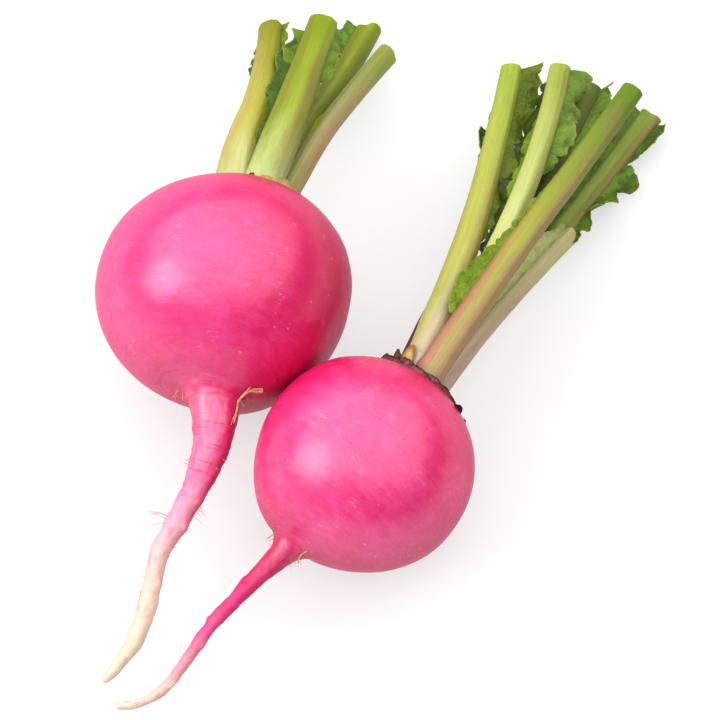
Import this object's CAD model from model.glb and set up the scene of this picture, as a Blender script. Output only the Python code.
import math
import random

import bmesh
import bpy
import numpy as np
from mathutils import Euler, Matrix, Vector, noise


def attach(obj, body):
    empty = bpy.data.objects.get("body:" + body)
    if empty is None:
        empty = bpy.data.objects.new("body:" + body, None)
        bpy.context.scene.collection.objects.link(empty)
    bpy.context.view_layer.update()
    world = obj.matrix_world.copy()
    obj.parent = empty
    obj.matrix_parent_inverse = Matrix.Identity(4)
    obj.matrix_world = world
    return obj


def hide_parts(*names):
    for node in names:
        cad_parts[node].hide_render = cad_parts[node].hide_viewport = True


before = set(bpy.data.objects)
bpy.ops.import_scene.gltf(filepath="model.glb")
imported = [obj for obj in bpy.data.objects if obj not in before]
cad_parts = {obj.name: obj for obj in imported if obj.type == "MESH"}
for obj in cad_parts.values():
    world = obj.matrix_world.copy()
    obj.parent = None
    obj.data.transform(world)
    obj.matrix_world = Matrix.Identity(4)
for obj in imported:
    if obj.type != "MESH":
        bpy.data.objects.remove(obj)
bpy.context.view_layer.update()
mm = 0.001
print("frame loaded:", len(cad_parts), "nodes")


# shader tools

def shade(red, green, blue):  # a colour as a picture editor shows it, 0 to 255
    shares = [c / 255 for c in (red, green, blue)]
    return tuple(c / 12.92 if c <= 10 / 255 else ((c + 0.055) / 1.055) ** 2.4 for c in shares)


def leafShade(red, green, blue):  # a green as it looks under the lamps, brought down to the leaf's own colour
    return tuple(max(0.66 * c - 0.012, 0.003) for c in shade(red, green, blue))


class Link:  # a socket that can be added, multiplied and so on
    def __init__(self, paint, socket):
        self.paint, self.socket = paint, socket

    def maths(self, operation, first, second):
        return self.paint.node("ShaderNodeMath", {"operation": operation}, {0: first, 1: second})

    def __add__(self, other): return self.maths("ADD", self, other)
    def __radd__(self, other): return self.maths("ADD", other, self)
    def __sub__(self, other): return self.maths("SUBTRACT", self, other)
    def __rsub__(self, other): return self.maths("SUBTRACT", other, self)
    def __mul__(self, other): return self.maths("MULTIPLY", self, other)
    def __rmul__(self, other): return self.maths("MULTIPLY", other, self)


class Paint:  # a material and its shader
    def __init__(self, name, **fixed):
        self.material = bpy.data.materials.new(name)
        self.material.use_nodes = True
        self.tree = self.material.node_tree
        self.shader = self.tree.nodes["Principled BSDF"]
        for socket, value in fixed.items():
            self.shader.inputs[socket.replace("_", " ")].default_value = value

    def node(self, kind, settings, sockets, out=0):
        made = self.tree.nodes.new(kind)
        for name, value in settings.items():
            if name == "stops":
                self.setStops(made.color_ramp, value)
            else:
                setattr(made, name, value)
        for name, value in sockets.items():
            self.feed(made.inputs[name], value)
        return Link(self, made.outputs[out])

    def setStops(self, ramp, stops):
        while len(ramp.elements) < len(stops):
            ramp.elements.new(0.5)
        for element, (place, colour) in zip(ramp.elements, stops):
            element.position = place
            element.color = (*colour, 1.0) if len(colour) == 3 else colour

    def feed(self, socket, value):
        if isinstance(value, Link):
            self.tree.links.new(value.socket, socket)
        elif isinstance(value, tuple) and len(value) == 3 and socket.type == "RGBA":
            socket.default_value = (*value, 1.0)
        else:
            socket.default_value = value

    def stored(self, name, out="Fac"):  # a value kept on the mesh's points
        return self.node("ShaderNodeAttribute", {"attribute_name": name}, {}, out)

    def stretched(self, place, factors, shift=(0.0, 0.0, 0.0)):
        return self.node("ShaderNodeVectorMath", {"operation": "MULTIPLY_ADD"},
                         {0: place, 1: factors, 2: shift})

    def noise(self, place, scale, detail=2.0, roughness=0.5, distortion=0.0):
        return self.node("ShaderNodeTexNoise", {}, {
            "Vector": place, "Scale": scale, "Detail": detail, "Roughness": roughness,
            "Distortion": distortion})

    def streaked(self, place, factors, detail=2.0, roughness=0.5, distortion=0.0, shift=(0.0, 0.0, 0.0)):
        return self.noise(self.stretched(place, factors, shift), 1.0, detail, roughness, distortion)

    def cells(self, place, scale, feature="F1", out="Distance"):
        return self.node("ShaderNodeTexVoronoi", {"feature": feature}, {"Vector": place, "Scale": scale}, out)

    def between(self, value, low, high, first=0.0, last=1.0):  # a smooth step
        return self.node("ShaderNodeMapRange", {"interpolation_type": "SMOOTHSTEP", "clamp": True}, {
            "Value": value, "From Min": low, "From Max": high, "To Min": first, "To Max": last})

    def mixed(self, share, first, second, how="MIX"):
        return self.node("ShaderNodeMix", {"data_type": "RGBA", "blend_type": how, "clamp_result": False}, {
            0: share, 6: first, 7: second}, 2)

    def times(self, colour, factors):
        return self.mixed(1.0, colour, factors, "MULTIPLY")

    def ramp(self, value, stops):
        return self.node("ShaderNodeValToRGB", {"stops": stops}, {"Fac": value})

    def bump(self, height, distance, strength=1.0, under=None):
        sockets = {"Height": height, "Distance": distance, "Strength": strength}
        if under is not None:
            sockets["Normal"] = under
        return self.node("ShaderNodeBump", {}, sockets)

    def finish(self, **varying):
        for socket, value in varying.items():
            self.feed(self.shader.inputs[socket.replace("_", " ")], value)
        return self.material


# mesh tools

def smoothLine(points, steps):
    points = np.asarray(points, float)
    chord = np.linalg.norm(np.diff(points[:, :3], axis=0), axis=1)
    at = np.concatenate([[0.0], np.cumsum(chord)])
    slope = np.gradient(points, at, axis=0, edge_order=min(2, len(points) - 1))
    shares = np.linspace(0.0, at[-1], steps + 1)
    leg = np.clip(np.searchsorted(at, shares, side="right") - 1, 0, len(chord) - 1)
    span = chord[leg]
    t = ((shares - at[leg]) / span)[:, None]
    span = span[:, None]
    start = (2 * t**3 - 3 * t**2 + 1) * points[leg] + (t**3 - 2 * t**2 + t) * span * slope[leg]
    end = (3 * t**2 - 2 * t**3) * points[leg + 1] + (t**3 - t**2) * span * slope[leg + 1]
    return start + end


def directions(line, back=0.0):
    tangent = np.gradient(line, axis=0)
    tangent /= np.linalg.norm(tangent, axis=1)[:, None]
    right = np.cross(tangent, (0.0, 0.0, 1.0))
    right /= np.linalg.norm(right, axis=1)[:, None]
    upward = np.cross(right, tangent)
    turn = np.radians(back)
    outward = upward * np.cos(turn) + right * np.sin(turn)
    return tangent, outward, np.cross(tangent, outward)


def lumps(points, scale, seed=0.0):  # smooth noise, about -1 to 1, at each point
    shift = Vector((seed * 17.3, seed * 5.1, seed * 9.7))
    flat = np.asarray(points, float).reshape(-1, 3)
    values = [noise.noise(Vector(p) * scale + shift) for p in flat]
    return np.array(values).reshape(np.asarray(points).shape[:-1])


def eased(share, values):  # a smooth curve through values at even steps from 0 to 1
    values = np.asarray(values, float)
    at = np.clip(share, 0.0, 1.0) * (len(values) - 1)
    leg = np.minimum(at.astype(int), len(values) - 2)
    t = at - leg
    slope = np.gradient(values)
    return ((2 * t**3 - 3 * t**2 + 1) * values[leg] + (t**3 - 2 * t**2 + t) * slope[leg]
            + (3 * t**2 - 2 * t**3) * values[leg + 1] + (t**3 - t**2) * slope[leg + 1])


def tubeFaces(rows, sides):
    starts, column = np.arange(rows - 1)[:, None] * sides, np.arange(sides)
    a, b = starts + column, starts + (column + 1) % sides
    return np.stack([a, b, b + sides, a + sides], axis=-1).reshape(-1, 4).tolist()


def sheet(grid, thick):  # a thin closed body round a grid of points
    lift = np.cross(np.gradient(grid, axis=0), np.gradient(grid, axis=1))
    lift /= np.maximum(np.linalg.norm(lift, axis=2), 1e-9)[..., None]
    top, bottom = grid + lift * thick / 2, grid - lift * thick / 2
    rows, wide = grid.shape[0] - 1, grid.shape[1]
    layer = (rows + 1) * wide
    a = (np.arange(rows)[:, None] * wide + np.arange(wide - 1)).reshape(-1)
    faces = np.stack([a, a + wide, a + wide + 1, a + 1], axis=-1).tolist()
    faces += np.stack([a + layer, a + 1 + layer, a + wide + 1 + layer, a + wide + layer], axis=-1).tolist()
    rim = [row * wide for row in range(rows + 1)] + [rows * wide + c for c in range(1, wide)]
    rim += [row * wide + wide - 1 for row in range(rows - 1, -1, -1)] + [c for c in range(wide - 2, 0, -1)]
    faces += [(p, q, q + layer, p + layer) for p, q in zip(rim, rim[1:] + rim[:1])]
    return np.concatenate([top.reshape(-1, 3), bottom.reshape(-1, 3)]), faces


def placing(radish):
    turn = Euler((math.radians(radish["pitch"]), 0.0, -math.radians(radish["heading"])))
    return Matrix.Translation(Vector(radish["centre"]) * mm) @ turn.to_matrix().to_4x4() @ Matrix.Scale(mm, 4)


def faceOutward(mesh):
    fix = bmesh.new()
    fix.from_mesh(mesh)
    bmesh.ops.recalc_face_normals(fix, faces=fix.faces)
    fix.to_mesh(mesh)
    fix.free()


def addPiece(name, points, faces, place, material, stored, replaced=(), crease=50.0):
    points = np.asarray(points, float).reshape(-1, 3)
    matrix = np.array(place)
    world = points @ matrix[:3, :3].T + matrix[:3, 3]
    world[:, 2] = np.maximum(world[:, 2], 0.0)  # it lies on the surface, not through it
    mesh = bpy.data.meshes.new(name)
    mesh.from_pydata(world.tolist(), [], faces)
    for key, values in stored.items():
        values = np.asarray(values, np.float32)
        if values.ndim > 1:
            mesh.attributes.new(key, "FLOAT_VECTOR", "POINT").data.foreach_set("vector", values.reshape(-1))
        else:
            mesh.attributes.new(key, "FLOAT", "POINT").data.foreach_set("value", values)
    faceOutward(mesh)
    mesh.shade_smooth()
    mesh.set_sharp_from_angle(angle=math.radians(crease))
    mesh.materials.append(material)
    piece = bpy.data.objects.new(name, mesh)
    bpy.context.scene.collection.objects.link(piece)
    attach(piece, "root")
    if replaced:
        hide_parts(*replaced)


def pushed(points, faces, height):  # the points moved along their normals, in millimetres
    mesh = bpy.data.meshes.new("pushed")
    flat = np.asarray(points, float).reshape(-1, 3)
    mesh.from_pydata(flat.tolist(), [], faces)
    faceOutward(mesh)
    normals = np.array([v.normal for v in mesh.vertices])
    bpy.data.meshes.remove(mesh)
    return flat + normals * np.asarray(height).reshape(-1, 1)


# the radishes' roots: bulb and taproot as one skin, in the radish's own frame, in millimetres

largeRadish = {
    "centre": (0.0, 0.0, 30.7), "heading": 11.5, "pitch": -1.0,
    "width": 61.8, "length": 54.4, "crownRound": 2.2, "rootRound": 2.05, "lean": 0.06, "flare": 2.5,
    "lumps": ((2, 0.011, -1.4), (3, 0.006, -1.2)),
    "taproot": (
        (4.0, -28.0, -1.5, 12.2), (5.0, -32.2, -2.6, 10.8), (5.5, -37.2, -3.8, 9.2), (5.2, -41.7, -5.0, 8.0),
        (3.5, -50.2, -7.4, 6.0), (0.8, -58.7, -9.6, 5.3), (-1.3, -65.2, -11.8, 4.6), (-1.3, -73.2, -14.0, 4.4),
        (-1.6, -79.2, -15.4, 4.5), (-2.9, -86.2, -17.2, 3.9), (-5.1, -90.7, -18.8, 3.0),
        (-7.7, -95.2, -20.6, 1.2)),
    "paler": (-0.52, -0.34, 0.78), "seed": 1.0,
}
smallRadish = {
    "centre": (33.8, -43.3, 25.6), "heading": 34.5, "pitch": 3.0,
    "width": 51.8, "length": 50.4, "crownRound": 2.1, "rootRound": 2.0, "lean": 0.0, "flare": 1.9,
    "lumps": ((2, 0.006, -1.5), (3, 0.007, 0.5)),
    "taproot": (
        (-3.4, -28.0, -0.6, 6.2), (-4.7, -33.3, -1.2, 5.0), (-6.3, -41.3, -1.9, 3.7),
        (-7.7, -49.8, -3.3, 3.1), (-8.2, -58.3, -4.8, 2.7), (-8.4, -66.3, -6.4, 2.7),
        (-9.7, -71.3, -7.4, 2.4), (-12.6, -75.3, -8.3, 2.1), (-16.2, -78.1, -9.0, 1.2)),
    "paler": (-0.20, -0.36, 0.91), "seed": 2.0,
}
# counts of points, the polar angles of the bulb's first and last rows, and how many rows before and after the
# bulb's end are smoothed together, and how often
rootDetail = {"sides": 176, "bulbRows": 150, "rootRows": 220, "polar": (1.5, 176.5),
              "smoothBack": 14, "smoothOn": 18, "smoothPasses": 60}


def bulbProfile(radish, polar, around):
    power = 2.0 / np.where(polar < 90.0, radish["crownRound"], radish["rootRound"])
    angle = np.radians(polar)
    radius = radish["width"] / 2 * np.sin(angle) ** power
    forward = np.sign(np.cos(angle)) * np.abs(np.cos(angle)) ** power * radish["length"] / 2
    waves = sum(size * np.sin(count * around + phase) for count, size, phase in radish["lumps"])
    radius = radius * (1.0 + waves)
    return radius, forward + radish["lean"] * radius * np.cos(around)


def rootForm(radish):
    sides = rootDetail["sides"]
    around = np.linspace(0.0, 2 * math.pi, sides, endpoint=False)
    polar = np.linspace(*rootDetail["polar"], rootDetail["bulbRows"])[:, None]
    start = radish["taproot"][0]
    radius, forward = bulbProfile(radish, polar, around[None, :])
    blend = np.clip((polar - 100.0) / 70.0, 0.0, 1.0) ** 2
    thickness = start[3] / 2 * np.clip((polar - 90.0) / 60.0, 0.0, 1.0)
    radius = (radius ** radish["flare"] + thickness ** radish["flare"]) ** (1 / radish["flare"])
    bulb = np.stack([radius * np.cos(around) + start[0] * blend, forward,
                     radius * np.sin(around) + start[2] * blend], axis=-1)
    line = smoothLine(radish["taproot"], rootDetail["rootRows"])
    _, outward, right = directions(line[:, :3])
    thick = line[:, 3] / 2
    end = np.linspace(0.0, 1.0, len(thick))
    tip = np.sqrt(np.clip(1.0 - ((end - 0.985) / 0.0155) ** 2, 0.02, 1.0))
    thick = thick * np.where(end > 0.985, tip, 1.0)
    ring = np.sin(around)[None, :, None] * outward[:, None] - np.cos(around)[None, :, None] * right[:, None]
    taproot = line[:, None, :3] + thick[:, None, None] * ring
    rings = np.concatenate([bulb, taproot[1:]])
    joint = len(bulb)
    first, last = joint - rootDetail["smoothBack"], joint + rootDetail["smoothOn"]
    for _ in range(rootDetail["smoothPasses"]):  # the bulb runs into the taproot without a step
        part = rings[first:last]
        rings[first + 1:last - 1] = part[1:-1] * 0.5 + (part[:-2] + part[2:]) * 0.25
    middle = rings.mean(axis=1)
    meridian = np.linalg.norm(np.diff(rings, axis=0), axis=2).mean(axis=1)
    arc = np.concatenate([[0.0], np.cumsum(meridian)])
    arc = arc - arc[joint]
    straight = rings.copy()
    size = np.linalg.norm(rings - middle[:, None], axis=2)
    straight[joint:, :, 0] = size[joint:] * np.cos(around)
    straight[joint:, :, 1] = rings[joint, :, 1].mean() - (arc[joint:] - arc[joint])[:, None]
    straight[joint:, :, 2] = size[joint:] * np.sin(around)
    return {"rings": rings, "arc": arc, "around": around, "straight": straight}


def rootHeights(form, seed, knobs):
    arc = np.repeat(form["arc"][:, None], len(form["around"]), axis=1)
    straight = form["straight"]
    onRoot = np.clip((arc + 3.0) / 8.0, 0.0, 1.0)
    height = 0.30 * lumps(straight, 0.055, seed) * (1.0 - onRoot) + 0.07 * lumps(straight, 0.22, seed + 3)
    slow = lumps(straight * (1.0, 0.5, 1.0), 0.16, seed + 5)
    fold = np.sin(arc * 2 * math.pi / 1.9 + 5.0 * slow + 2.0 * np.sin(form["around"] + seed)[None, :])
    nearFoot = np.exp(-((arc + 1.5) / 5.5) ** 2)
    height += 0.09 * nearFoot * fold * np.clip(lumps(straight, 0.13, seed + 7) + 0.35, 0.0, 1.0)
    rootFolds = np.sin(arc * 2 * math.pi / 2.6 + 7.0 * slow)
    height += 0.045 * onRoot * rootFolds ** 3 * np.clip(1.0 - arc / 26.0, 0.15, 1.0)
    height += onRoot * (0.30 * lumps(straight, 0.26, seed + 9) + 0.12 * lumps(straight, 0.7, seed + 11))
    for place, angle, size, rise in knobs:
        turned = np.angle(np.exp(1j * (form["around"] - math.radians(angle))))[None, :]
        far = np.sqrt((arc - place) ** 2 + (turned * 2.4) ** 2)
        height += rise * np.exp(-(far / size) ** 2)
    return height


# a point of the skin, by its distance past the bulb's end and its angle
def onSkin(form, arc, angle, lift=0.0):
    row = np.interp(arc, form["arc"], np.arange(len(form["arc"])))
    low = int(min(row, len(form["arc"]) - 2))
    share = row - low
    column = (math.radians(angle) % (2 * math.pi)) / (2 * math.pi) * len(form["around"])
    side, nextSide = int(column) % len(form["around"]), (int(column) + 1) % len(form["around"])
    part = column - int(column)
    rings = form["rings"]
    ring = rings[low] * (1 - share) + rings[low + 1] * share
    point = ring[side] * (1 - part) + ring[nextSide] * part
    outward = point - ring.mean(axis=0)
    if arc < 0.0:
        outward = point - np.array((0.0, -8.0, 0.0))
    return point + outward / np.linalg.norm(outward) * lift


rootSkin = {
    "large": {
        "deep": (0.47, 0.003, 0.078), "bright": (0.63, 0.011, 0.128), "pale": (0.72, 0.070, 0.265),
        "crown": (18.0, 34.0, 0.45, (0.34, 0.05, 0.06)), "lit": 0.38,
        "root": ((-6.0, (0.58, 0.008, 0.10)), (2.0, (0.60, 0.020, 0.14)), (9.0, (0.64, 0.05, 0.19)),
                 (20.0, (0.68, 0.14, 0.28)), (30.0, (0.70, 0.28, 0.36)), (38.0, (0.68, 0.44, 0.42)),
                 (50.0, (0.66, 0.52, 0.42)), (72.0, (0.60, 0.52, 0.40))),
    },
    "small": {
        "deep": (0.48, 0.003, 0.080), "bright": (0.63, 0.011, 0.128), "pale": (0.72, 0.078, 0.275),
        "crown": (20.0, 34.0, 0.75, (0.20, 0.025, 0.050)), "lit": 0.10,
        "root": ((-6.0, (0.54, 0.006, 0.09)), (6.0, (0.50, 0.005, 0.10)), (20.0, (0.58, 0.015, 0.16)),
                 (28.0, (0.62, 0.06, 0.21)), (36.0, (0.66, 0.26, 0.31)), (42.0, (0.66, 0.42, 0.36)),
                 (49.0, (0.62, 0.50, 0.42)), (68.0, (0.60, 0.53, 0.42))),
    },
}


def rootPaint(name, colours):
    paint = Paint(name, Subsurface_Weight=0.06, Subsurface_Radius=(0.0030, 0.0006, 0.0010),
                  Subsurface_Scale=0.5, Coat_Roughness=0.32, Coat_IOR=1.62, Specular_IOR_Level=0.30)
    place, arc, polar = paint.stored("straight", "Vector"), paint.stored("arc"), paint.stored("polar")
    cloudy = paint.noise(place, 0.075, 4.0, 0.62, 0.3)
    mottled = paint.noise(place, 0.42, 4.0, 0.62, 0.4)
    streaks = paint.streaked(place, (0.10, 0.85, 0.10), 4.0, 0.62, 0.4)
    fineStreaks = paint.streaked(place, (0.35, 3.2, 0.35), 3.0, 0.6)
    grain = paint.noise(place, 2.6, 3.0, 0.6)
    paler = paint.stored("paler")
    tone = cloudy * 0.42 + mottled * 0.30 + streaks * 0.22 + fineStreaks * 0.24 + grain * 0.30 - 0.30
    tone = tone + (paler - 0.56) * 0.62
    skin = paint.ramp(tone, [(0.22, colours["deep"]), (0.52, colours["bright"]), (0.84, colours["pale"])])
    first, last = colours["root"][0][0], colours["root"][-1][0]
    drift = arc + paint.noise(place, 0.35, 3.0) * 7.0 + streaks * 5.0 - 6.0
    along = (drift - first) * (1.0 / (last - first))
    stops = [((stop - first) / (last - first), colour) for stop, colour in colours["root"]]
    rootColour = paint.ramp(along, stops)
    patches = paint.streaked(place, (0.55, 0.16, 0.55), 4.0, 0.6, 0.5, shift=(5.0, 0.0, 9.0))
    lit = paint.between(paler + (patches - 0.5) * 1.2, 0.62, 1.20) * paint.between(arc, 46.0, 26.0)
    rootColour = paint.mixed(lit * colours["lit"], rootColour, (0.84, 0.44, 0.58))
    blush = paint.between(patches, 0.54, 0.66) * paint.between(arc, 24.0, 32.0)
    blush = blush * paint.between(arc, 60.0, 48.0)
    rootColour = paint.mixed(blush * 0.45, rootColour, (0.66, 0.12, 0.19))
    shaded = paint.between(paler + (patches - 0.5) * 0.5, 0.74, 0.40) * paint.between(arc, 40.0, 18.0)
    rootColour = paint.mixed(shaded * 0.75, rootColour, (0.50, 0.006, 0.10))
    creases = paint.streaked(place, (0.08, 1.3, 0.08), 3.0, 0.6, 0.3, shift=(2.0, 5.0, 8.0))
    crease = paint.between(creases, 0.58, 0.64) * paint.between(arc, 30.0, 12.0)
    crease = crease * paint.between(arc, -1.0, 2.0)
    rootColour = paint.mixed(crease * 0.45, rootColour, (0.46, 0.02, 0.07))
    base = paint.mixed(paint.between(drift, -7.0, 3.0), skin, rootColour)
    specks = paint.cells(paint.stretched(place, (0.30, 0.75, 0.30)), 1.0)
    rare = paint.cells(paint.stretched(place, (0.30, 0.75, 0.30)), 1.0, out="Color")
    chosen = paint.between(paint.node("ShaderNodeSeparateColor", {}, {"Color": rare}), 0.72, 0.80)
    spot = paint.between(specks, 0.17, 0.07) * chosen
    base = paint.mixed(spot * 0.65, base, (0.76, 0.34, 0.24))
    scar = paint.streaked(place, (0.12, 1.1, 0.12), 2.0, 0.5, 0.8, shift=(31.0, 7.0, 2.0))
    fromLine = paint.node("ShaderNodeMath", {"operation": "ABSOLUTE"}, {0: scar - 0.5})
    line = paint.between(fromLine, 0.010, 0.002)
    where = paint.between(paint.noise(place, 0.14, 1.0), 0.58, 0.66)
    base = paint.mixed(line * where * 0.6, base, (0.76, 0.32, 0.28))
    foot = paint.between(paint.streaked(place, (0.5, 1.6, 0.5), 4.0, 0.65, shift=(3.0, 3.0, 3.0)), 0.56, 0.70)
    nearFoot = paint.between(arc, -9.0, -2.0) * paint.between(arc, 16.0, 4.0)
    base = paint.mixed(foot * nearFoot * 0.30, base, (0.46, 0.20, 0.12))
    left = paint.between(paint.node("ShaderNodeSeparateXYZ", {}, {0: place}), -2.0, -9.0)
    rings = paint.between(paint.streaked(place, (0.04, 3.2, 0.04), 3.0, 0.6, 0.1), 0.54, 0.60)
    wrinkles = rings * left * paint.between(arc, -11.0, -6.0) * paint.between(arc, 2.0, -1.0)
    base = paint.mixed(wrinkles * 0.45, base, (0.30, 0.02, 0.05))
    dots = paint.between(paint.cells(place, 0.42), 0.16, 0.07) * paint.between(arc, 24.0, 40.0)
    base = paint.mixed(dots * paint.between(grain, 0.45, 0.6) * 0.75, base, (0.24, 0.14, 0.05))
    inner, outer, strength, stain = colours["crown"]
    crown = paint.between(polar + (mottled - 0.5) * 26.0 + (fineStreaks - 0.5) * 10.0, outer, inner)
    base = paint.mixed(crown * strength, base, stain)
    rough = 0.30 + cloudy * 0.08 + grain * 0.08 + spot * 0.2 + paint.between(arc, 0.0, 12.0) * 0.20
    facing = paint.node("ShaderNodeLayerWeight", {}, {"Blend": 0.5}, "Facing")
    gloss = paint.between(facing, 0.30, 0.80, 0.95, 0.10)
    soft = paint.bump(mottled * 0.7 + streaks * 0.4 + fineStreaks * 0.4, 0.00034, 0.6)
    fine = paint.bump(grain + spot * 0.8 + line * where * 0.6 - wrinkles * 1.5, 0.00010, 0.5, soft)
    coat = gloss * (1.0 - paint.between(arc, -2.0, 10.0) * 0.8)
    return paint.finish(Base_Color=base, Roughness=rough, Coat_Weight=coat, Normal=fine)


def makeRoot(size, radish, knobs):
    form = rootForm(radish)
    rows, sides = form["rings"].shape[:2]
    faces = tubeFaces(rows, sides)
    ends = [form["rings"][0].mean(axis=0), form["rings"][-1].mean(axis=0)]
    points = np.concatenate([form["rings"].reshape(-1, 3), ends])
    faces += [((side + 1) % sides, side, rows * sides) for side in range(sides)]
    last = (rows - 1) * sides
    faces += [(last + side, last + (side + 1) % sides, rows * sides + 1) for side in range(sides)]
    height = np.append(rootHeights(form, radish["seed"], knobs).reshape(-1), (0.0, 0.0))
    points = pushed(points, faces, height)
    arc = np.append(np.repeat(form["arc"], sides), (form["arc"][0], form["arc"][-1]))
    straight = np.concatenate([form["straight"].reshape(-1, 3), ends])
    polar = np.linspace(*rootDetail["polar"], rootDetail["bulbRows"])
    polar = np.append(polar, np.full(rows - len(polar), 180.0))
    polar = np.append(np.repeat(polar, sides), (0.0, 180.0))
    turned = math.radians(radish["heading"])
    ray = np.array(radish["paler"])  # the side whose skin is thinner, turned into the radish's own frame
    ray = np.array((ray[0] * math.cos(turned) - ray[1] * math.sin(turned),
                    ray[0] * math.sin(turned) + ray[1] * math.cos(turned), ray[2]))
    facing = points / np.maximum(np.linalg.norm(points, axis=1), 1.0)[:, None]
    ringOut = form["rings"] - form["rings"].mean(axis=1)[:, None]
    ringOut /= np.linalg.norm(ringOut, axis=2)[..., None]
    ringOut = np.concatenate([ringOut.reshape(-1, 3), np.zeros((2, 3))])
    onRoot = np.clip((arc + 8.0) / 10.0, 0.0, 1.0)[:, None]
    facing = facing * (1 - onRoot) + ringOut * onRoot
    paler = np.clip(0.5 + 0.62 * facing @ (ray / np.linalg.norm(ray)), 0.0, 1.0)
    addPiece(f"{size}_root", points, faces, placing(radish), rootPaint(f"{size}_root_skin", rootSkin[size]),
             {"arc": arc, "straight": straight, "polar": polar, "paler": paler},
             [f"{size}_bulb_and_taproot"], crease=80.0)
    return form


# place along the taproot, angle round it (0 right, 90 up), radius and rise of each knob, in millimetres
rootKnobs = {
    "large": ((13.0, 10.0, 1.2, 0.35), (24.0, 20.0, 1.3, 0.45), (31.0, 12.0, 1.0, 0.55),
              (38.0, 160.0, 1.4, 0.35), (47.0, 15.0, 1.2, 0.25), (58.0, 170.0, 1.5, 0.25)),
    "small": ((12.0, 165.0, 1.0, 0.30), (17.0, 15.0, 1.1, 0.35), (24.0, 160.0, 0.9, 0.40),
              (30.0, 20.0, 0.9, 0.35), (41.0, 30.0, 0.9, 0.45), (46.0, 150.0, 0.8, 0.3)),
}
forms = {size: makeRoot(size, radish, rootKnobs[size])
         for size, radish in (("large", largeRadish), ("small", smallRadish))}
print("roots made")


# leaf stems, each with what is left of its blade

# A stem: its middle line, its widths at even steps, the turn of its back, its colours along it, and a tint on
# each edge with its strength and its ends as shares of the stem.
# A blade is a strip of leaf on one edge of its stem, given as: side, its ends as shares of the stem, how far
# its margin stands off at even steps, (fold towards the groove, further curl of the margin, run of its outer
# corner past the end), (depth of teeth, ruffle), colour. Angles are in degrees, lengths in millimetres.
largeStems = {
    "left_leaf": {
        "route": ((-3.5, 24.0, 1.6), (-4.9, 34.8, 1.2), (-4.7, 61.8, -3.6), (-7.8, 86.2, -11.3)),
        "width": (9.8, 8.8, 7.6, 6.6, 6.2), "back": -25.0,
        "foot": (220, 230, 178), "middle": (204, 200, 100), "top": (160, 162, 40),
        "left": ((212, 188, 106), 0.6, 0.1, 0.8), "right": ((168, 172, 30), 0.75, 0.3, 1.1),
        "blades": (
            (-1, (0.62, 0.99), (0.1, 1.0, 2.0, 1.2, 1.9, 1.0), (10.0, 20.0, 0.0), (0.9, 20.0), (96, 128, 34)),
            (1, (0.8, 1.0), (0.2, 0.8, 1.4, 1.6, 1.8), (5.0, 10.0, 0.4), (0.5, 16.0), (128, 148, 50))),
    },
    "top_leaf": {
        "route": ((2.4, 24.0, 4.4), (3.6, 33.8, 4.8), (5.6, 59.8, 2.3), (6.5, 84.8, -3.5)),
        "width": (9.2, 10.0, 8.8, 8.1, 7.7), "back": 5.0,
        "foot": (226, 238, 182), "middle": (178, 194, 66), "top": (158, 182, 34),
        "left": ((148, 150, 50), 0.75, 0.3, 1.1), "right": ((166, 146, 84), 0.6, 0.1, 0.8),
        "blades": (
            (-1, (0.1, 0.92), (0.6, 0.9, 1.2, 2.2, 3.8, 4.6, 4.8, 2.6), (26.0, 14.0, 0.6), (0.8, 20.0),
             (86, 112, 26)),
            (-1, (0.58, 0.94), (0.4, 1.6, 2.6, 3.6, 4.2, 3.6), (14.0, 34.0, 0.6), (1.3, 50.0),
             (112, 138, 40)),
            (1, (0.56, 1.0), (0.1, 1.0, 2.0, 2.8, 3.0, 3.6, 3.0), (14.0, 40.0, 2.4), (1.0, 50.0),
             (128, 158, 56))),
    },
    "under_leaf": {
        "route": ((4.0, 24.0, -5.6), (6.2, 40.8, -7.4), (8.0, 61.8, -14.0), (11.4, 79.8, -20.8),
                  (15.1, 102.2, -27.3)),
        "width": (7.0, 8.0, 7.2), "back": 150.0,
        "foot": (206, 214, 124), "middle": (190, 200, 62), "top": (168, 182, 26),
        "left": ((128, 126, 42), 0.6, 0.45, 1.1), "right": ((124, 134, 12), 0.55, 0.35, 1.1),
        "blades": (
            (1, (0.78, 1.0), (0.3, 1.4, 2.6, 3.4, 3.0), (20.0, 25.0, 2.2), (0.7, 24.0), (112, 150, 52)),),
    },
    "right_leaf": {
        "route": ((6.6, 23.5, -2.4), (9.2, 37.1, -4.1), (12.7, 55.0, -7.8), (17.2, 71.2, -12.5),
                  (22.7, 88.8, -18.2)),
        "width": (6.4, 5.8, 6.2), "back": 60.0,
        "foot": (206, 206, 140), "middle": (204, 196, 144), "top": (172, 184, 92),
        "left": ((172, 172, 84), 0.5, 0.0, 1.1), "right": ((204, 160, 122), 0.65, 0.18, 0.66),
        "blades": (
            (-1, (0.38, 0.52), (0.1, 0.5, 0.7, 0.4), (-10.0, 10.0, 0.6), (0.4, 14.0), (160, 170, 52)),),
    },
}
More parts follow.
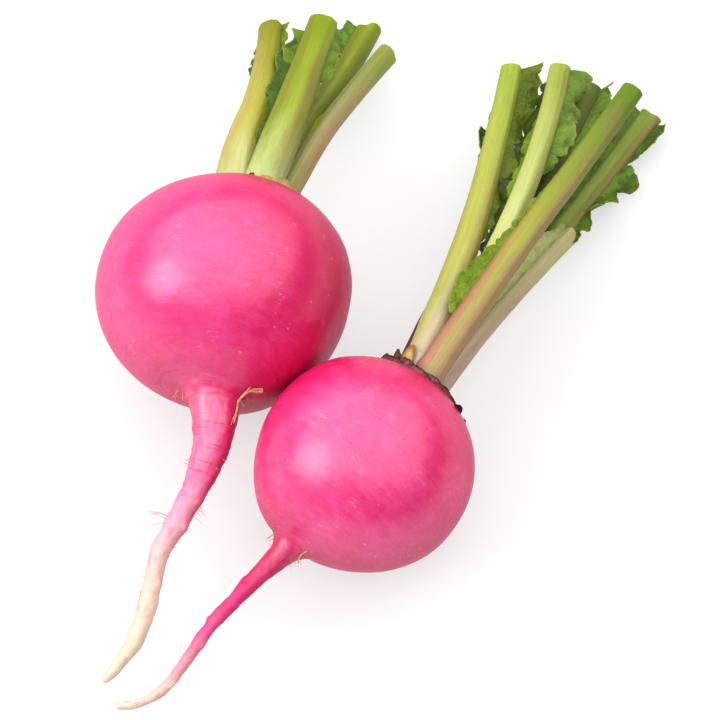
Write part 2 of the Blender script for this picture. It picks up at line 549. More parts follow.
smallStems = {
    "left_leaf": {
        "route": ((-2.8, 21.5, 5.2), (-7.1, 44.2, 3.1), (-12.7, 63.5, 0.1), (-22.1, 88.7, -4.3),
                  (-33.2, 114.8, -9.7)),
        "width": (4.4, 7.4, 7.1, 6.6, 6.1, 5.7, 5.4), "back": -15.0,
        "foot": (222, 204, 190), "middle": (200, 202, 106), "top": (172, 192, 78),
        "left": ((206, 206, 104), 0.65, 0.12, 0.9), "right": ((176, 150, 100), 0.7, 0.0, 0.62),
        "blades": (
            (1, (0.44, 1.0), (0.3, 2.2, 4.2, 5.6, 6.0, 5.4, 5.0), (30.0, 20.0, 3.6), (1.0, 40.0),
             (108, 126, 16)),
            (-1, (0.72, 0.88), (0.1, 1.0, 1.5, 1.4, 0.4), (30.0, 20.0, 0.8), (0.3, 16.0), (84, 118, 46))),
    },
    "inner_leaf": {
        "route": ((-1.4, 22.0, 0.3), (-3.0, 47.8, 0.0), (-8.4, 81.2, 0.1), (-16.5, 106.8, -4.2),
                  (-22.0, 120.2, -6.8)),
        "width": (5.4, 5.6, 5.5), "back": 0.0,
        "foot": (240, 242, 186), "middle": (238, 244, 178), "top": (172, 184, 82),
        "left": ((206, 212, 124), 0.45, 0.0, 1.1), "right": ((168, 168, 84), 0.6, 0.15, 1.1),
        "blades": (
            (1, (0.67, 1.0), (0.3, 3.0, 4.6, 4.4, 5.6, 6.2, 5.2), (12.0, 28.0, 2.6), (1.4, 54.0),
             (126, 154, 66)),
            (-1, (0.52, 0.84), (0.1, 0.9, 1.6, 1.2, 2.0, 1.2, 0.3), (20.0, 10.0, 0.4), (0.7, 26.0),
             (122, 150, 36)),
            (-1, (0.26, 0.96), (0.4, 2.0, 3.4, 4.6, 5.0, 5.0, 4.6, 2.2), (42.0, 22.0, 0.4), (1.2, 30.0),
             (74, 88, 18))),
    },
    "top_leaf": {
        "route": ((1.2, 21.5, 6.2), (0.9, 46.5, 8.0), (0.5, 69.2, 7.8), (0.1, 92.5, 5.6), (-1.0, 120.2, 2.0)),
        "width": (7.2, 6.2, 5.6), "back": 10.0,
        "foot": (204, 180, 130), "middle": (184, 192, 76), "top": (124, 152, 8),
        "left": ((196, 130, 120), 0.7, -0.2, 0.46), "right": ((178, 134, 122), 0.6, 0.0, 0.7),
        "blades": (
            (-1, (0.2, 0.68), (1.4, 3.4, 4.4, 3.6, 2.4, 1.6, 1.0, 0.7, 0.4, 0.1), (-8.0, 34.0, 0.0),
             (1.0, 44.0), (126, 152, 40)),),
    },
    "right_leaf": {
        "route": ((2.0, 21.5, -5.6), (0.2, 43.8, -12.2), (-0.7, 65.8, -18.7), (-0.9, 91.8, -24.4),
                  (-0.8, 133.0, -29.0)),
        "width": (5.4, 5.2, 6.0), "back": 180.0,
        "foot": (216, 190, 162), "middle": (180, 192, 110), "top": (150, 168, 64),
        "left": ((142, 160, 66), 0.5, 0.3, 1.1), "right": ((160, 112, 92), 0.55, 0.6, 1.1),
        "blades": (
            (1, (0.48, 0.99), (0.6, 3.4, 4.2, 4.0, 4.0, 4.6, 4.6, 4.2), (10.0, 14.0, 1.4), (1.0, 44.0),
             (100, 130, 40)),
            (-1, (0.85, 0.98), (0.2, 1.6, 2.8, 2.2), (0.0, 20.0, 1.4), (0.6, 20.0), (92, 118, 40)),
            (-1, (0.58, 0.84), (0.4, 2.4, 3.0, 2.2, 3.6, 4.4, 3.2, 6.6, 1.0), (24.0, -14.0, 1.8), (1.2, 50.0),
             (112, 144, 54))),
    },
    "short_leaf": {
        "route": ((3.2, 21.5, -2.4), (2.0, 30.0, -4.2), (1.2, 46.9, -9.8), (0.9, 66.4, -16.8),
                  (1.9, 89.6, -23.8)),
        "width": (5.4, 5.0, 4.6), "back": 60.0,
        "foot": (226, 214, 190), "middle": (236, 218, 182), "top": (226, 214, 164),
        "left": ((214, 216, 156), 0.65, 0.0, 1.1), "right": ((206, 166, 152), 0.65, -0.2, 0.7),
        "blades": (
            (-1, (0.3, 0.97), (0.1, 1.4, 2.6, 3.4, 4.0, 4.0, 2.6), (-10.0, 20.0, 0.2), (0.5, 24.0),
             (198, 208, 144)),),
    },
    "under_leaf": {
        "route": ((-5.8, 21.5, -2.6), (-9.8, 40.0, -5.6), (-14.2, 62.0, -11.0), (-21.8, 84.0, -16.6),
                  (-29.6, 100.0, -20.0)),
        "width": (4.6, 4.4, 4.2), "back": -120.0,
        "foot": (150, 104, 100), "middle": (120, 116, 58), "top": (100, 122, 40),
        "left": ((106, 66, 74), 0.8, 0.0, 0.6), "right": ((90, 60, 60), 0.6, 0.0, 0.8),
        "blades": (
            (1, (0.76, 1.0), (0.2, 0.8, 2.2, 3.0, 2.8), (-20.0, 10.0, 0.6), (0.8, 12.0), (84, 118, 30)),),
    },
    "middle_leaf": {
        "route": ((0.2, 21.5, -2.8), (-2.8, 49.8, -7.2), (-6.9, 84.8, -10.8), (-10.8, 104.8, -14.2),
                  (-14.8, 126.0, -17.6)),
        "width": (4.8, 4.4, 4.0), "back": 20.0,
        "foot": (180, 160, 120), "middle": (112, 124, 40), "top": (116, 138, 30),
        "left": ((128, 112, 60), 0.5, 0.2, 0.6), "right": ((96, 112, 36), 0.5, 0.0, 1.1),
        "blades": (
            (1, (0.62, 1.0), (0.4, 2.6, 4.2, 5.4, 5.4, 4.2, 2.2), (10.0, 20.0, 6.6), (1.0, 40.0),
             (124, 156, 56)),
            (-1, (0.46, 1.0), (0.3, 2.4, 3.6, 4.4, 4.6, 2.6), (30.0, 26.0, 1.0), (1.2, 44.0), (74, 92, 18))),
    },
}
# the back stands above the middle line and the front, with its groove, below it, in shares of half the width
stemDetail = {"sides": 52, "rows": 150, "capRings": 6, "back": 0.80, "front": 0.62, "groove": 0.24,
              "grooveWidth": 0.42, "endDip": 0.30}
bladeDetail = {"step": 0.42, "columns": 18, "thickness": 0.34, "lineSteps": 300, "lobe": 5.4, "tooth": 1.7}


def stemPaint(name, stem):
    paint = Paint(name, Subsurface_Weight=0.12, Subsurface_Radius=(0.0025, 0.003, 0.0012),
                  Subsurface_Scale=0.5, Specular_IOR_Level=0.45)
    place, share = paint.stored("straight", "Vector"), paint.stored("share")
    side, cut = paint.stored("side"), paint.stored("cut")
    fibres = paint.streaked(place, (2.4, 0.045, 2.4), 4.0, 0.6)
    strands = paint.streaked(place, (6.5, 0.08, 6.5), 2.0, 0.5)
    cloudy = paint.streaked(place, (0.22, 0.07, 0.22), 3.0, 0.55)
    grain = paint.noise(place, 3.2, 3.0, 0.6)
    along = share + (cloudy - 0.5) * 0.22
    foot, middle, top = (leafShade(*stem[part]) for part in ("foot", "middle", "top"))
    base = paint.ramp(along, [(0.02, foot), (0.42, middle), (0.92, top)])
    wavy = side + (cloudy - 0.5) * 0.5 + (fibres - 0.5) * 0.35
    for tint, inner, outer in (("left", 0.05, -0.60), ("right", 0.10, 0.60)):  # tinted bands along both edges
        colour, strength, start, end = stem[tint]
        edge = paint.between(wavy, inner, outer)
        reach = paint.between(along, start - 0.15, start + 0.15) * paint.between(along, end + 0.2, end - 0.2)
        base = paint.mixed(edge * reach * strength, base, leafShade(*colour))
    base = paint.mixed(paint.between(fibres, 0.42, 0.66) * 0.45, base, paint.times(base, (1.30, 1.26, 1.20)))
    base = paint.mixed(paint.between(strands, 0.50, 0.38) * 0.28, base, paint.times(base, (0.70, 0.74, 0.45)))
    blotch = paint.between(cloudy + fibres * 0.35, 0.60, 0.82)
    base = paint.mixed(blotch * 0.25, base, leafShade(*stem["left"][0]))
    flecks = paint.between(paint.streaked(place, (1.6, 0.5, 1.6), 3.0, shift=(9.0, 1.0, 4.0)), 0.66, 0.74)
    base = paint.mixed(flecks * 0.35, base, leafShade(150, 104, 60))
    pith = paint.between(paint.cells(place, 1.1), 0.42, 0.22)
    fresh = paint.mixed(pith * 0.6, leafShade(178, 184, 96), leafShade(128, 142, 50))
    base = paint.mixed(cut, base, fresh)
    rough = 0.40 + grain * 0.10 + fibres * 0.08 + cut * 0.2
    ribs = paint.bump(fibres * 0.7 + strands * 0.5, 0.00022, 0.65)
    fine = paint.bump(grain + flecks * 0.4, 0.00006, 0.5, ribs)
    return paint.finish(Base_Color=base, Roughness=rough, Normal=fine)


def bladePaint(name, colour):
    paint = Paint(name, Subsurface_Weight=0.18, Subsurface_Radius=(0.0008, 0.0012, 0.0004),
                  Subsurface_Scale=0.6, Specular_IOR_Level=0.40)
    colour = leafShade(*colour)
    place, across, under = paint.stored("straight", "Vector"), paint.stored("across"), paint.stored("under")
    bent = paint.node("ShaderNodeVectorMath", {"operation": "ADD"}, {
        0: place, 1: paint.stretched(paint.noise(place, 0.5, 2.0), (0.9, 0.9, 0.9), (-0.45, -0.45, -0.45))})
    out, ahead = (paint.node("ShaderNodeSeparateXYZ", {}, {0: bent}, axis) for axis in "XY")
    rows = (ahead - out * 0.75) * (1 / 3.6)
    fromVein = paint.node("ShaderNodeMath", {"operation": "PINGPONG"}, {0: rows, 1: 0.5})
    vein = paint.between(fromVein, 0.070, 0.012)
    mesh = paint.cells(bent, 0.80, "DISTANCE_TO_EDGE")
    smallVein = paint.between(mesh, 0.10, 0.02)
    cloudy = paint.noise(place, 0.30, 3.0, 0.55)
    grain = paint.noise(place, 3.0, 3.0, 0.6)
    base = paint.mixed(paint.between(cloudy, 0.32, 0.66), paint.times(colour, (0.58, 0.64, 0.40)),
                       paint.times(colour, (1.50, 1.40, 1.25)))
    base = paint.mixed(grain * 0.25, base, paint.times(colour, (0.62, 0.70, 0.50)))
    base = paint.mixed(smallVein * 0.10 + vein * 0.42, base, paint.times(colour, (1.75, 1.55, 1.6)))
    base = paint.mixed(under * 0.4, base, paint.times(colour, (1.40, 1.36, 1.60)))
    base = paint.mixed(paint.between(across, 0.90, 1.0) * 0.35, base, shade(170, 178, 92))
    rough = 0.44 + grain * 0.14
    pillows = paint.bump(paint.between(mesh, 0.0, 0.45) * (1.0 - vein * 0.8) - under * vein, 0.00022, 0.5)
    fine = paint.bump(grain, 0.00008, 0.5, pillows)
    return paint.finish(Base_Color=base, Roughness=rough, Normal=fine)


def stemFrame(stem, steps):
    line = smoothLine(stem["route"], steps)
    tangent, outward, right = directions(line, stem["back"])
    share = np.linspace(0.0, 1.0, steps + 1)
    width = np.interp(share, np.linspace(0.0, 1.0, len(stem["width"])), stem["width"]) / 2
    return line, tangent, outward, right, share, width


def makeStem(size, name, stem, radish, seed):
    rows, sides = stemDetail["rows"], stemDetail["sides"]
    line, tangent, outward, right, share, width = stemFrame(stem, rows - 1)
    length = np.linalg.norm(np.diff(line, axis=0), axis=1).sum()
    around = np.linspace(0.0, 2 * math.pi, sides, endpoint=False)
    across = np.sign(np.cos(around)) * np.abs(np.cos(around)) ** 0.88  # the back is broad, its edges rounded
    depth = np.where(np.sin(around) > 0, stemDetail["back"], stemDetail["front"])
    depth = depth * np.sign(np.sin(around)) * np.abs(np.sin(around)) ** 0.84
    groove = stemDetail["groove"] * np.exp(-((across / stemDetail["grooveWidth"]) ** 2))
    depth = depth + np.where(np.sin(around) < 0, groove, 0.0)
    ribs = 0.016 * np.cos(9 * around + seed) + 0.007 * np.cos(23 * around + seed)
    ribs = 1.0 + ribs * (np.sin(around) > -0.3)
    swell = 1.0 + 0.025 * lumps(np.stack([share * length, share * 0 + seed, share * 0], axis=-1), 0.09, seed)
    flare = 1.0 + 0.10 * np.exp(-((share * length - 4.0) / 3.0) ** 2)
    size2d = (width * swell * flare)[:, None] * ribs
    rings = (line[:, None] + (size2d * across)[..., None] * right[:, None]
             + (size2d * depth)[..., None] * outward[:, None])
    skin = np.broadcast_arrays(across * 3, (share * length * 0.35)[:, None], depth * 3)
    wobble = lumps(np.stack(skin, axis=-1), 0.5, seed)
    rings += (rings - line[:, None]) * 0.02 * wobble[..., None]
    caps = []
    for ring in range(1, stemDetail["capRings"]):
        shrink = 1.0 - (ring / stemDetail["capRings"]) ** 1.1
        end = np.stack([across * shrink * 4, depth * shrink * 4, across * 0 + seed], axis=-1)
        rough = 0.12 * lumps(end, 1.0)
        dip = stemDetail["endDip"] * (1 - shrink ** 2) * (0.2 if ring == 1 else 1.0)
        centre = rings[-1].mean(axis=0)
        caps.append(centre + (rings[-1] - centre) * shrink - tangent[-1] * (dip + rough)[:, None])
    allRings = np.concatenate([rings, caps])
    count = len(allRings)
    centre = allRings[-1].mean(axis=0)
    points = np.concatenate([allRings.reshape(-1, 3), [rings[0].mean(axis=0), centre]])
    faces = tubeFaces(count, sides)
    faces += [((s + 1) % sides, s, count * sides) for s in range(sides)]
    last = (count - 1) * sides
    faces += [(last + s, last + (s + 1) % sides, count * sides + 1) for s in range(sides)]
    shares = np.append(np.repeat(np.append(share, np.ones(len(caps))), sides), (0.0, 1.0))
    cut = np.append(np.repeat(np.append(np.zeros(rows), np.ones(len(caps))), sides), (0.0, 1.0))
    straight = np.zeros((count, sides, 3))
    scale = np.append(width, width[-1] * np.linspace(0.85, 0.1, len(caps)))[:, None]
    straight[..., 0], straight[..., 2] = scale * across, scale * depth
    straight[..., 1] = (np.append(share, np.ones(len(caps))) * length)[:, None] + seed * 40
    straight = np.concatenate([straight.reshape(-1, 3), [[0, seed * 40, 0], [0, length + seed * 40, 0]]])
    level = np.cross(tangent, (0.0, 0.0, 1.0))  # to the right, seen from above
    level /= np.linalg.norm(level, axis=1)[:, None]
    offset = rings - line[:, None]
    side = (offset * level[:, None]).sum(axis=2)
    side = np.concatenate([side, np.repeat(side[-1:], len(caps), axis=0)])
    side = np.append((side / np.abs(side).max(axis=1)[:, None]).reshape(-1), (0.0, 0.0))
    addPiece(f"{size}_{name}_stem", points, faces, placing(radish), stemPaint(f"{size}_{name}_green", stem),
             {"straight": straight, "share": shares, "side": side, "cut": cut},
             [f"{size}_{name}"], crease=45.0)


def makeBlade(size, name, number, stem, blade, radish, seed):
    which, (start, end), reach, (fold, curl, skew), (depth, ruffle), colour = blade
    steps, columns = bladeDetail["lineSteps"], bladeDetail["columns"]
    line, tangent, outward, right, _, width = stemFrame(stem, steps)
    length = np.linalg.norm(np.diff(line, axis=0), axis=1).sum()
    rows = max(12, int(length * (end - start) / bladeDetail["step"]))
    at = np.linspace(start, end, rows + 1) * steps

    def along(values):
        values = values if values.ndim > 1 else values[:, None]
        return np.stack([np.interp(at, np.arange(steps + 1), column) for column in values.T], axis=1)

    s = np.linspace(0.0, 1.0, rows + 1)
    run = s * length * (end - start)
    edge, out, ahead, half = which * along(right), along(outward), along(tangent), along(width)
    root = along(line) + edge * half * 0.72 - out * half * 0.15
    margin = eased(s, reach)
    stations = np.stack([run, run * 0 + seed * 7.7, run * 0], axis=-1)
    lobe = np.abs(np.sin(run * math.pi / bladeDetail["lobe"] + 1.6 * lumps(stations, 0.15, seed))) ** 0.7
    tooth = (run / bladeDetail["tooth"] + 0.9 * lumps(stations, 0.30, seed + 2)) % 1.0
    tooth = np.where(tooth < 0.7, tooth / 0.7, (1.0 - tooth) / 0.3)
    tooth = tooth * (0.35 + 0.65 * np.clip(lumps(stations, 0.5, seed + 3) + 0.6, 0, 1))
    teeth = depth * (1.15 * (lobe - 0.55) + 0.48 * (tooth - 0.4))
    margin = margin + (teeth + 0.45 * lumps(stations, 0.24, seed + 4)) * np.clip(margin / 1.2, 0.0, 1.0)
    margin = np.maximum(margin, 0.05) + half[:, 0] * 0.25
    v = np.linspace(0.0, 1.0, columns + 1)
    wave = (lumps(stations, 0.16, seed + 6) * 1.3 + 0.5 * lumps(stations, 0.42, seed + 8))[:, None]
    angle = np.radians(fold + curl * v[None] ** 2 + ruffle * wave * 2.2 * v[None] ** 1.2)
    step = (margin / columns)[:, None]
    heading = edge[:, None] * np.cos(angle)[..., None] - out[:, None] * np.sin(angle)[..., None]
    grid = root[:, None] + np.concatenate([np.zeros((rows + 1, 1, 3)),
                                           np.cumsum(heading[:, 1:] * step[..., None], axis=1)], axis=1)
    grid += ahead[:, None] * (skew * v[None] * s[:, None] ** 2)[..., None]
    grid += ahead[:, None] * (0.5 * lumps(grid, 0.40, seed + 1) * v[None])[..., None]
    wide, layer = columns + 1, (rows + 1) * (columns + 1)
    station, spread = np.repeat(run[:, None], wide, 1), v[None] * margin[:, None]
    flat = np.stack([station, spread, spread * 0], axis=-1)
    crumple = 0.62 * lumps(flat, 0.34, seed + 12) + 0.30 * lumps(flat, 0.85, seed + 14)
    normal = np.cross(np.gradient(grid, axis=0), np.gradient(grid, axis=1))
    normal /= np.maximum(np.linalg.norm(normal, axis=2), 1e-9)[..., None]
    grid += normal * (crumple * v[None] ** 0.6)[..., None]
    thick = bladeDetail["thickness"] * (1.9 - 1.2 * v[None] ** 0.5)[..., None]
    points, faces = sheet(grid, thick)
    straight = np.stack([spread, station, spread * 0 + seed * 5], axis=-1).reshape(-1, 3)
    across = np.tile(v, rows + 1)
    stored = {"straight": np.concatenate([straight, straight]), "across": np.concatenate([across, across]),
              "under": np.repeat((1.0, 0.0) if which < 0 else (0.0, 1.0), layer)}
    addPiece(f"{size}_{name}_blade_{number}", points, faces, placing(radish),
             bladePaint(f"{size}_{name}_blade_{number}_green", colour), stored, crease=60.0)


for size, radish, stems in (("large", largeRadish, largeStems), ("small", smallRadish, smallStems)):
    for order, (name, stem) in enumerate(stems.items()):
        seed = order + (20.0 if size == "small" else 1.0)
        makeStem(size, name, stem, radish, seed)
        for number, blade in enumerate(stem["blades"]):
            makeBlade(size, name, number, stem, blade, radish, seed + 0.37 * (number + 1))
print("leaf stems made")


# necks, leaf scars and dry scales round the crowns

# A scale stands on the bulb's shoulder, given as: its polar angle and its angle round the crown (0 right, 90
# up), its width and height in millimetres, its lean from 0 upright to 90 flat and away from the crown, how
# much further its tip leans, and its kind.
crowns = {
    "large": {
        "neck": {"radius": 10.8, "rise": 2.2, "colour": ((212, 212, 140), (184, 160, 96))},
        "scales": (
            (16.5, 85.0, 1.9, 3.0, 8.0, 24.0, "red"), (18.5, 96.0, 1.4, 1.8, 24.0, 30.0, "red"),
            (17.0, 70.0, 2.0, 2.6, 4.0, 10.0, "cream"), (21.5, 66.0, 6.0, 2.4, 4.0, 10.0, "cream"),
            (23.0, 46.0, 8.4, 3.4, 2.0, 8.0, "cream"), (23.5, 24.0, 7.0, 3.2, 4.0, 12.0, "cream"),
            (20.5, 116.0, 7.0, 1.4, 6.0, 16.0, "cream"), (21.0, 150.0, 6.0, 1.5, 10.0, 20.0, "cream"),
            (22.0, 190.0, 6.6, 1.8, 14.0, 20.0, "brown"), (22.0, 232.0, 6.0, 2.0, 20.0, 20.0, "cream"),
            (22.0, 280.0, 7.0, 1.8, 14.0, 20.0, "cream"), (22.0, 330.0, 6.6, 1.8, 14.0, 20.0, "brown")),
    },
    "small": {
        "neck": {"radius": 11.2, "rise": 1.6, "colour": ((186, 136, 128), (142, 84, 92))},
        "scales": (
            (26.5, 168.0, 6.4, 1.6, 22.0, 30.0, "dark"), (25.0, 148.0, 7.0, 1.9, 14.0, 24.0, "dark"),
            (26.0, 128.0, 7.2, 1.5, 30.0, 20.0, "dark"), (24.6, 110.0, 7.4, 1.8, 12.0, 20.0, "dark"),
            (25.4, 90.0, 7.0, 1.5, 20.0, 22.0, "dark"), (24.2, 72.0, 6.8, 1.7, 10.0, 18.0, "dark"),
            (25.0, 52.0, 6.6, 1.4, 18.0, 20.0, "dark"), (23.6, 36.0, 5.6, 1.1, 20.0, 22.0, "dark"),
            (31.0, 32.0, 3.2, 1.5, 50.0, -14.0, "black"), (23.6, 14.0, 5.6, 1.1, 40.0, 24.0, "dark"),
            (26.0, 345.0, 6.6, 2.2, 34.0, 24.0, "dark"), (26.0, 310.0, 7.4, 2.4, 30.0, 24.0, "dark"),
            (26.0, 272.0, 7.6, 2.2, 36.0, 24.0, "dark"), (26.0, 236.0, 7.4, 2.4, 30.0, 24.0, "dark"),
            (26.0, 204.0, 6.4, 2.2, 34.0, 24.0, "dark"), (21.5, 100.0, 5.0, 1.6, 40.0, 20.0, "dark"),
            (21.0, 124.0, 4.6, 1.8, 36.0, 20.0, "dark"), (22.6, 66.0, 2.2, 1.1, 20.0, 20.0, "cream"),
            (23.0, 46.0, 1.8, 1.0, 20.0, 20.0, "cream"), (18.4, 132.0, 5.6, 6.4, 0.0, 6.0, "yellow"),
            (19.4, 144.0, 4.4, 3.8, 8.0, 24.0, "brown")),
    },
}
scaleKinds = {  # dark, light and tip colour, and how torn its rim is
    "dark": (leafShade(142, 84, 92), leafShade(196, 142, 138), leafShade(80, 44, 50), 0.60),
    "black": (shade(52, 24, 34), shade(80, 42, 50), shade(36, 18, 22), 0.50),
    "red": (leafShade(176, 70, 84), leafShade(206, 130, 116), leafShade(140, 60, 60), 0.30),
    "cream": (leafShade(226, 218, 140), leafShade(204, 204, 116), leafShade(212, 180, 116), 0.10),
    "brown": (leafShade(140, 104, 60), leafShade(180, 146, 90), leafShade(104, 66, 40), 0.50),
    "yellow": (leafShade(222, 200, 116), leafShade(240, 220, 156), leafShade(170, 120, 60), 0.15),
}
# counts of points; how deep the neck's skirt goes into the bulb, and a scale's thickness, in millimetres
crownDetail = {"sides": 160, "bands": 40, "skirt": 1.4, "scaleColumns": 28, "scaleRows": 12, "thickness": 0.30}


def scalePaint(name, kind):
    paint = Paint(name, Specular_IOR_Level=0.35)
    dark, light, tip, _ = scaleKinds[kind]
    place, across = paint.stored("straight", "Vector"), paint.stored("across")
    fibres = paint.streaked(place, (3.2, 0.5, 3.2), 4.0, 0.65)
    cloudy = paint.noise(place, 0.45, 3.0)
    base = paint.mixed(paint.between(fibres * 0.6 + cloudy * 0.5, 0.42, 0.68), dark, light)
    base = paint.mixed(paint.between(across + (fibres - 0.5) * 0.5, 0.55, 1.0) * 0.8, base, tip)
    return paint.finish(Base_Color=base, Roughness=0.55 + fibres * 0.25,
                        Normal=paint.bump(fibres, 0.0002, 0.8))


def neckPaint(name, look):
    paint = Paint(name, Specular_IOR_Level=0.4, Subsurface_Weight=0.08, Subsurface_Scale=0.4,
                  Subsurface_Radius=(0.0020, 0.0016, 0.0010))
    place = paint.stored("straight", "Vector")
    lines = paint.streaked(place, (1.6, 0.4, 1.6), 4.0, 0.6)
    cloudy = paint.noise(place, 0.28, 3.0)
    light, dark = (leafShade(*colour) for colour in look["colour"])
    base = paint.mixed(paint.between(lines * 0.5 + cloudy * 0.6, 0.48, 0.64), light, dark)
    return paint.finish(Base_Color=base, Roughness=0.5 + lines * 0.2,
                        Normal=paint.bump(lines + cloudy, 0.0004, 0.7))


def makeCrown(size, radish, look):
    sides, rows = crownDetail["sides"], crownDetail["scaleRows"]
    around = np.linspace(0.0, 2 * math.pi, sides, endpoint=False)
    share = np.linspace(0.0, 1.0, crownDetail["bands"])[:, None]
    radius = look["neck"]["radius"] * (1.0 + 0.05 * np.sin(3 * around + 0.5) + 0.03 * np.sin(7 * around))
    out = share ** 0.8 * radius
    polar = np.degrees(np.arcsin(np.clip(out / (radish["width"] / 2), 0, 1) ** (radish["crownRound"] / 2)))
    _, forward = bulbProfile(radish, polar, around[None] + share * 0)
    rough = np.stack([out * np.cos(around), out * np.sin(around), out * 0], axis=-1)
    uneven = 1.0 + 0.35 * lumps(rough, 0.30, 4.0) + 0.15 * lumps(rough, 0.9, 6.0)
    rise = look["neck"]["rise"] * (1 - share ** 3) * uneven
    forward = forward + rise - 0.35 * share ** 6
    dome = np.stack([out * np.cos(around), forward, out * np.sin(around)], axis=-1)
    low = dome[::-1].copy()
    low[..., 1] -= crownDetail["skirt"]
    rings = np.concatenate([dome, low])
    faces = tubeFaces(len(rings), sides)
    faces += [tuple(range(sides))[::-1], tuple(range((len(rings) - 1) * sides, len(rings) * sides))]
    addPiece(f"{size}_neck", rings, faces, placing(radish), neckPaint(f"{size}_neck_skin", look["neck"]),
             {"straight": rings.reshape(-1, 3)}, [f"{size}_crown_scales"], crease=60.0)
    for number, (polar, angle, wide, high, leaning, curl, kind) in enumerate(look["scales"]):
        angle = math.radians(angle)
        u = np.linspace(-1.0, 1.0, crownDetail["scaleColumns"] + 1)
        v = np.linspace(0.0, 1.0, rows + 1)
        seed = number * 1.7 + (30.0 if size == "small" else 3.0)
        row = np.stack([u * 4, u * 0 + seed, u * 0], axis=-1)
        torn = scaleKinds[kind][3] * (0.40 * lumps(row, 0.45, seed) + 0.22 * lumps(row, 1.5, seed))
        tip = (1.0 - 0.70 * np.abs(u) ** 2.2) * (0.9 + torn)
        rim, _ = bulbProfile(radish, np.array(polar), np.array(angle))
        turn = angle + u * wide / 2 / max(float(rim), 3.0)
        radius, forward = bulbProfile(radish, np.full(len(u), polar), turn)
        foot = np.stack([radius * np.cos(turn), forward - 0.25, radius * np.sin(turn)], axis=-1)
        radial = np.stack([np.cos(turn), turn * 0, np.sin(turn)], axis=-1)
        lean = np.radians(leaning + curl * v + 14.0 * lumps(row[:1] + v[:, None], 0.8, seed))
        slope = math.radians(90.0 - 0.9 * polar)  # the skin falls away from the crown
        lean = np.minimum(lean, math.pi - slope + 0.1)
        step = (high / rows) * np.clip(tip, 0.05, None)[None, :, None]
        leaned, upright = np.sin(lean)[:, None, None], np.cos(lean)[:, None, None]
        heading = radial[None] * leaned + np.array((0.0, 1.0, 0.0)) * upright
        grid = foot[None] + np.cumsum(heading * step, axis=0)
        grid += radial[None] * (0.25 * lumps(grid, 0.8, seed) * v[:, None])[..., None]
        points, faces = sheet(grid, crownDetail["thickness"])
        straight = np.stack([np.tile(u * wide / 2, len(v)), np.repeat(v * high, len(u)),
                             np.full(len(u) * len(v), seed)], axis=-1)
        stored = {"straight": np.concatenate([straight, straight]),
                  "across": np.tile(np.repeat(v, len(u)), 2)}
        addPiece(f"{size}_scale_{number}", points, faces, placing(radish),
                 scalePaint(f"{size}_scale_{number}_dry", kind), stored, crease=60.0)


for size, radish in (("large", largeRadish), ("small", smallRadish)):
    makeCrown(size, radish, crowns[size])
print("crowns made")


# fine rootlets and hairs on the taproots

def tube(points, radii, sides=7):
    line = smoothLine(np.column_stack([points, radii]), max(6, len(points) * 4))
    _, up, side = directions(line[:, :3] + np.array((0.0, 0.0, 1e-6)))
    around = np.linspace(0.0, 2 * math.pi, sides, endpoint=False)
    rings = line[:, None, :3] + line[:, 3, None, None] * (
        np.cos(around)[None, :, None] * up[:, None] + np.sin(around)[None, :, None] * side[:, None])
    count = len(rings)
    faces = tubeFaces(count, sides)
    faces += [tuple(range(sides)), tuple(range((count - 1) * sides, count * sides))]
    return rings.reshape(-1, 3), faces


def hairPaint(name):
    paint = Paint(name, Specular_IOR_Level=0.3)
    place = paint.stored("straight", "Vector")
    base = paint.mixed(paint.between(paint.noise(place, 0.8, 3.0), 0.35, 0.65), shade(190, 128, 104),
                       shade(222, 178, 152))
    return paint.finish(Base_Color=base, Roughness=0.65 + paint.noise(place, 2.0, 2.0) * 0.1)


def makeHairs(size, radish, form, rootlets, tufts):
    dice = random.Random(11 if size == "large" else 29)
    points, faces = [], []

    def add(path, radii):
        more, ring = tube(np.array(path), radii)
        shift = sum(len(p) for p in points)
        points.append(more)
        faces.extend(tuple(i + shift for i in face) for face in ring)

    for path, thick in rootlets:
        add([onSkin(form, *spot) for spot in path], np.linspace(thick, thick * 0.35, len(path)))
    for place, side, longest in [tuft[:3] for tuft in tufts for _ in range(tuft[3])]:
        arc, angle = place + dice.gauss(0.0, 0.9), side + dice.gauss(0.0, 10.0)
        foot = onSkin(form, arc, angle, -0.1)
        outward = onSkin(form, arc, angle, 1.0) - foot
        reach = dice.uniform(0.35, 1.0) * longest
        path, here = [foot], foot
        bend = np.array([dice.uniform(-0.6, 0.6), dice.uniform(-1.0, 0.2), dice.uniform(-0.5, 0.3)])
        for _ in range(4):
            outward = outward / np.linalg.norm(outward) + bend * 0.35
            here = here + outward / np.linalg.norm(outward) * reach / 4
            path.append(here)
        add(path, np.linspace(dice.uniform(0.07, 0.13), 0.03, len(path)))
    points = np.concatenate(points)
    addPiece(f"{size}_root_hairs", points, faces, placing(radish), hairPaint(f"{size}_hair"),
             {"straight": points})


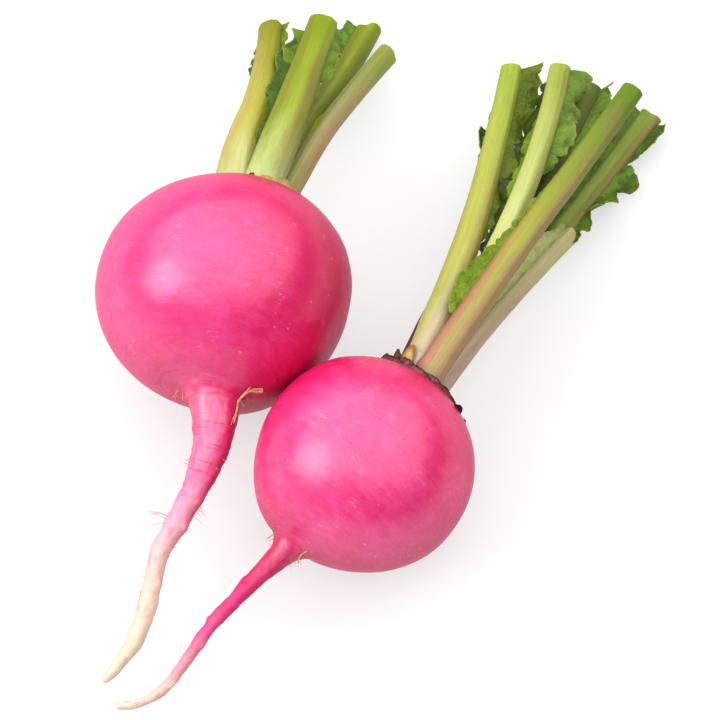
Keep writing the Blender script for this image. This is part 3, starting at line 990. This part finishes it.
# each rootlet: places along it as distance past the bulb's end, angle and lift, then its thickness
largeRootlets = (
    (((-7.0, 14.0, 0.30), (-5.6, 20.0, 0.45), (-4.6, 25.0, 0.25), (-3.2, 29.0, 0.45), (-1.4, 27.0, 0.30),
      (0.4, 30.0, 0.40), (2.2, 27.0, 0.30), (4.0, 29.0, 0.40), (5.6, 34.0, 0.60)), 0.52),
    (((-7.4, 17.0, 0.3), (-5.8, 24.0, 0.3), (-4.4, 29.0, 0.3)), 0.30),
    (((-3.2, 28.0, 0.3), (-4.6, 33.0, 0.5), (-5.6, 36.0, 1.1)), 0.26),
    (((-0.6, 27.0, 0.35), (0.6, 19.0, 0.6), (1.4, 13.0, 1.4)), 0.22),
    (((3.0, 28.0, 0.35), (4.6, 36.0, 0.4), (6.2, 42.0, 0.6)), 0.22),
)
smallRootlets = ((((-2.5, 30.0, 0.1), (-1.0, 22.0, 0.6), (0.8, 16.0, 1.4)), 0.2),)
# each tuft: place past the bulb's end, angle, longest hair in millimetres, number of hairs
largeTufts = ((-1.5, 172.0, 3.2, 5), (0.5, 178.0, 1.8, 3), (10.0, 8.0, 1.4, 2), (13.0, 12.0, 1.6, 3),
              (16.5, 176.0, 3.4, 4), (25.5, 6.0, 3.4, 5), (30.5, 178.0, 5.0, 4), (37.0, 10.0, 1.4, 3),
              (44.0, 176.0, 1.6, 2), (50.0, 178.0, 1.2, 2))
smallTufts = ((-0.5, 172.0, 3.0, 4), (3.0, 176.0, 1.6, 3), (-1.0, 12.0, 3.2, 6), (1.5, 8.0, 2.0, 3),
              (12.0, 174.0, 1.2, 2), (16.0, 10.0, 1.2, 2), (27.0, 176.0, 1.2, 2), (40.0, 12.0, 1.4, 3))
makeHairs("large", largeRadish, forms["large"], largeRootlets, largeTufts)
makeHairs("small", smallRadish, forms["small"], smallRootlets, smallTufts)
print("rootlets made")


# floor, light and camera

stage = {
    "floor": (0.30, 0.30, 0.30), "glow": 0.60, "worldStrength": 0.06, "gamma": 0.84,
    "middle": (0.03, 0.0, 0.03),
    "key": {"place": (-0.76, -0.24, 0.58), "size": (0.60, 0.60), "power": 4.8},
    "overhead": {"place": (0.02, 0.16, 1.05), "size": (4.0, 3.1), "power": 80.0},
}


def makeFloor():
    paint = Paint("floor_paper", Roughness=0.7, Specular_IOR_Level=0.2, Emission_Color=(1.0, 1.0, 1.0, 1.0),
                  Emission_Strength=stage["glow"])
    place = paint.node("ShaderNodeTexCoord", {}, {}, "Object")
    soft = paint.noise(place, 3.0, 2.0)
    paint.finish(Base_Color=paint.mixed(soft * 0.02, stage["floor"], (0.4, 0.4, 0.4)))
    mesh = bpy.data.meshes.new("floor")
    half, low = 3.0, -0.0002  # just below the object, so that the two don't flicker
    mesh.from_pydata([(-half, -half, low), (half, -half, low), (half, half, low), (-half, half, low)], [],
                     [(0, 1, 2, 3)])
    mesh.materials.append(paint.material)
    floor = bpy.data.objects.new("floor", mesh)
    bpy.context.scene.collection.objects.link(floor)


def addLight(name):
    light = stage[name]
    lamp = bpy.data.lights.new(name, "AREA")
    lamp.shape, lamp.size, lamp.size_y, lamp.energy = "RECTANGLE", *light["size"], light["power"]
    made = bpy.data.objects.new(name, lamp)
    made.location = light["place"]
    aim = Vector(stage["middle"]) - Vector(light["place"])
    made.rotation_euler = aim.to_track_quat("-Z", "Y").to_euler()
    bpy.context.scene.collection.objects.link(made)


makeFloor()
addLight("key")
addLight("overhead")

world = bpy.data.worlds.new("studio")
bpy.context.scene.world = world
world.use_nodes = True
world.node_tree.nodes["Background"].inputs["Color"].default_value = (1.0, 1.0, 1.0, 1.0)
world.node_tree.nodes["Background"].inputs["Strength"].default_value = stage["worldStrength"]

view = {"place": (0.0328, -0.2955, 0.5756), "tilt": 63.0, "lens": 128.5, "sensor": 36.0, "nearest": 0.01}
lens = bpy.data.cameras.new("camera")
lens.lens, lens.sensor_width, lens.clip_start = view["lens"], view["sensor"], view["nearest"]
camera = bpy.data.objects.new("camera", lens)
camera.location = view["place"]
camera.rotation_euler = (math.radians(90.0 - view["tilt"]), 0.0, 0.0)
bpy.context.scene.collection.objects.link(camera)
bpy.context.scene.camera = camera
bpy.context.scene.view_settings.view_transform = "Standard"
bpy.context.scene.view_settings.gamma = stage["gamma"]
print("stage set")
